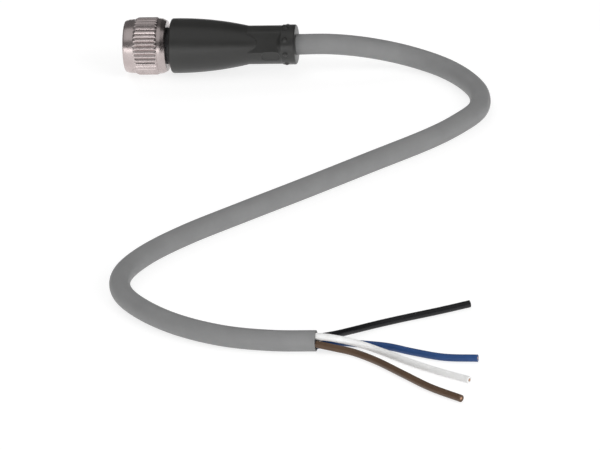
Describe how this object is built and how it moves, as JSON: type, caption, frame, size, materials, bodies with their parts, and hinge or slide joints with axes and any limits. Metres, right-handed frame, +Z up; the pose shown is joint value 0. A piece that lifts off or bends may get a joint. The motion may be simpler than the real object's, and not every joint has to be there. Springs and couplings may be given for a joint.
{
  "type": "m12 connector cordset",
  "caption": "Straight round M12 socket connector with knurled metal coupling nut, black moulded grip and a grey cable ending in free insulated cores.",
  "frame": {"origin": "centre of the contact carrier's mating face, on the connector's axis", "axes": "+X along the connector's axis from the mating face towards the cable, +Z up from the surface it lies on, which is 7.25 mm below the origin"},
  "size_m": [0.1113, 0.2067, 0.0144],
  "materials": {
    "nickel": "nickel-plated brass, satin bright",
    "seal": "matt seal rubber",
    "carrier": "moulded, fine satin",
    "gold": "gold flash over brass",
    "inner_mould": "moulded, hidden",
    "grip": "satin moulded elastomer",
    "jacket": "extruded soft plastic, slight sheen",
    "insulation_brown": "extruded, slight sheen",
    "insulation_white": "extruded, slight sheen",
    "insulation_blue": "extruded, slight sheen",
    "insulation_black": "extruded, slight sheen",
    "copper": "bare stranded copper"
  },
  "bodies": {
    "cordset": {"seal_ring": "seal", "contact_carrier": "carrier", "nut_sleeve": "carrier", "contact_1": "gold", "contact_2": "gold", "contact_3": "gold", "contact_4": "gold", "inner_mould": "inner_mould", "grip": "grip", "cable_jacket": "jacket", "core_brown": "insulation_brown", "core_white": "insulation_white", "core_blue": "insulation_blue", "core_black": "insulation_black", "conductor_brown": "copper", "conductor_white": "copper", "conductor_blue": "copper", "conductor_black": "copper"},
    "nut": {"coupling_nut": "nickel"}
  },
  "joints": [
    {"name": "nut_turn", "type": "hinge", "parent": "cordset", "child": "nut", "pos_m": [0.009, 0, 0], "axis": [1, 0, 0], "continuous": true}
  ]
}
